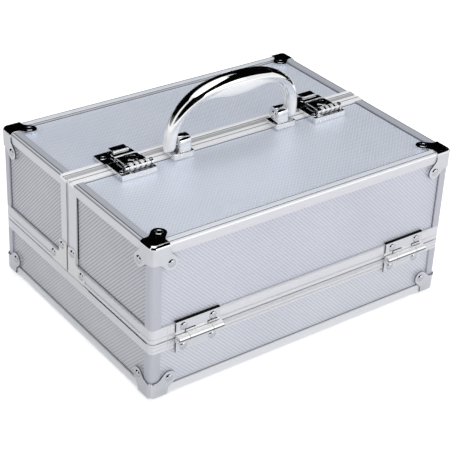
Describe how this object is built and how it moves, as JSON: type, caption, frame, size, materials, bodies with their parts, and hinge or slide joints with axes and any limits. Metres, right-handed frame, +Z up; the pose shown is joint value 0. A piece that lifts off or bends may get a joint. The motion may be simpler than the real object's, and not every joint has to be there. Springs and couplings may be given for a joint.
{
  "type": "makeup train case",
  "caption": "Aluminium-framed makeup train case with split lids on side hinges, level cantilever trays, latches with key locks and a folding carry handle.",
  "frame": {"origin": "middle of the footprint, on the plane the bottom corner caps stand on", "axes": "+X to the right along the long side, +Y to the back, +Z up; the front lid opens towards -Y"},
  "size_m": [0.2618, 0.2108, 0.1758],
  "materials": {
    "embossed_laminate": "embossed silver laminate on board",
    "anodised_aluminium": "satin anodised extrusion",
    "chrome_plate": "bright chrome plate",
    "plated_steel": "zinc plated strip",
    "tray_plastic": "moulded, fine grain",
    "lining_cloth": "flocked lining"
  },
  "bodies": {
    "base": {"base_floor_panel": "embossed_laminate", "base_front_panel": "embossed_laminate", "base_back_panel": "embossed_laminate", "base_end_panels": "embossed_laminate", "base_liner": "lining_cloth", "base_top_rail": "anodised_aluminium", "base_bottom_rails": "anodised_aluminium", "base_corner_posts": "anodised_aluminium", "base_corner_caps": "chrome_plate", "base_rivets": "chrome_plate", "hinge_base_leaves": "chrome_plate", "hinge_pins": "chrome_plate", "arm_pivot_pins": "plated_steel"},
    "front_lid": {"front_lid_bottom_rail": "anodised_aluminium", "front_lid_corner_caps": "chrome_plate", "front_lid_corner_plates": "chrome_plate", "front_lid_corner_posts": "anodised_aluminium", "front_lid_end_panels": "embossed_laminate", "front_lid_hinge_leaves": "chrome_plate", "front_lid_liner": "lining_cloth", "front_lid_long_panel": "embossed_laminate", "front_lid_rivets": "chrome_plate", "front_lid_split_rails": "anodised_aluminium", "front_lid_top_panel": "embossed_laminate", "front_lid_top_rails": "anodised_aluminium", "front_lid_tray_pins": "plated_steel", "latch_plates": "chrome_plate", "latch_pins": "chrome_plate", "handle_brackets": "chrome_plate", "handle_pins": "chrome_plate"},
    "back_lid": {"back_lid_bottom_rail": "anodised_aluminium", "back_lid_corner_caps": "chrome_plate", "back_lid_corner_plates": "chrome_plate", "back_lid_corner_posts": "anodised_aluminium", "back_lid_end_panels": "embossed_laminate", "back_lid_hinge_leaves": "chrome_plate", "back_lid_liner": "lining_cloth", "back_lid_long_panel": "embossed_laminate", "back_lid_rivets": "chrome_plate", "back_lid_split_rails": "anodised_aluminium", "back_lid_top_panel": "embossed_laminate", "back_lid_top_rails": "anodised_aluminium", "back_lid_tray_pins": "plated_steel", "latch_keepers": "chrome_plate"},
    "handle": {"handle_bail": "chrome_plate"},
    "left_latch": {"left_latch_lever": "chrome_plate"},
    "right_latch": {"right_latch_lever": "chrome_plate"},
    "left_lock": {"left_lock_cylinder": "chrome_plate"},
    "right_lock": {"right_lock_cylinder": "chrome_plate"},
    "front_arms": {"front_arms": "plated_steel", "front_arm_rivets": "plated_steel"},
    "back_arms": {"back_arms": "plated_steel", "back_arm_rivets": "plated_steel"},
    "front_lower_tray": {"front_lower_tray": "tray_plastic"},
    "front_upper_tray": {"front_upper_tray": "tray_plastic"},
    "back_lower_tray": {"back_lower_tray": "tray_plastic"},
    "back_upper_tray": {"back_upper_tray": "tray_plastic"}
  },
  "joints": [
    {"name": "front_lid_hinge", "type": "hinge", "parent": "base", "child": "front_lid", "pos_m": [0, -0.1024, 0.046], "axis": [1, 0, 0], "range_deg": [0, 90]},
    {"name": "back_lid_hinge", "type": "hinge", "parent": "base", "child": "back_lid", "pos_m": [0, 0.1024, 0.046], "axis": [-1, 0, 0], "range_deg": [0, 90]},
    {"name": "handle_swing", "type": "hinge", "parent": "front_lid", "child": "handle", "pos_m": [0.003, -0.001, 0.1296], "axis": [1, 0, 0], "range_deg": [-6, 78]},
    {"name": "left_latch_lift", "type": "hinge", "parent": "front_lid", "child": "left_latch", "pos_m": [-0.0835, -0.008, 0.1258], "axis": [1, 0, 0], "range_deg": [0, 105]},
    {"name": "left_key_turn", "type": "hinge", "parent": "left_latch", "child": "left_lock", "pos_m": [-0.0795, 0.0025, 0.1245], "axis": [0, 0, 1], "range_deg": [0, 90]},
    {"name": "right_latch_lift", "type": "hinge", "parent": "front_lid", "child": "right_latch", "pos_m": [0.0855, -0.008, 0.1258], "axis": [1, 0, 0], "range_deg": [0, 105]},
    {"name": "right_key_turn", "type": "hinge", "parent": "right_latch", "child": "right_lock", "pos_m": [0.0895, 0.0025, 0.1245], "axis": [0, 0, 1], "range_deg": [0, 90]},
    {"name": "front_arm_swing", "type": "hinge", "parent": "base", "child": "front_arms", "pos_m": [0, -0.0784, 0.042], "axis": [1, 0, 0], "range_deg": [0, 90]},
    {"name": "front_lower_tray_pivot", "type": "hinge", "parent": "front_lid", "child": "front_lower_tray", "pos_m": [0, -0.0819, 0.0665], "axis": [1, 0, 0], "range_deg": [-90, 0]},
    {"name": "front_upper_tray_pivot", "type": "hinge", "parent": "front_lid", "child": "front_upper_tray", "pos_m": [0, -0.0619, 0.0865], "axis": [1, 0, 0], "range_deg": [-90, 0]},
    {"name": "back_arm_swing", "type": "hinge", "parent": "base", "child": "back_arms", "pos_m": [0, 0.0784, 0.042], "axis": [-1, 0, 0], "range_deg": [0, 90]},
    {"name": "back_lower_tray_pivot", "type": "hinge", "parent": "back_lid", "child": "back_lower_tray", "pos_m": [0, 0.0819, 0.0665], "axis": [-1, 0, 0], "range_deg": [-90, 0]},
    {"name": "back_upper_tray_pivot", "type": "hinge", "parent": "back_lid", "child": "back_upper_tray", "pos_m": [0, 0.0619, 0.0865], "axis": [-1, 0, 0], "range_deg": [-90, 0]}
  ],
  "couplings": [
    {"joint": "front_arm_swing", "follows": "front_lid_hinge", "ratio": 1},
    {"joint": "front_lower_tray_pivot", "follows": "front_lid_hinge", "ratio": -1},
    {"joint": "front_upper_tray_pivot", "follows": "front_lid_hinge", "ratio": -1},
    {"joint": "back_arm_swing", "follows": "back_lid_hinge", "ratio": 1},
    {"joint": "back_lower_tray_pivot", "follows": "back_lid_hinge", "ratio": -1},
    {"joint": "back_upper_tray_pivot", "follows": "back_lid_hinge", "ratio": -1}
  ]
}
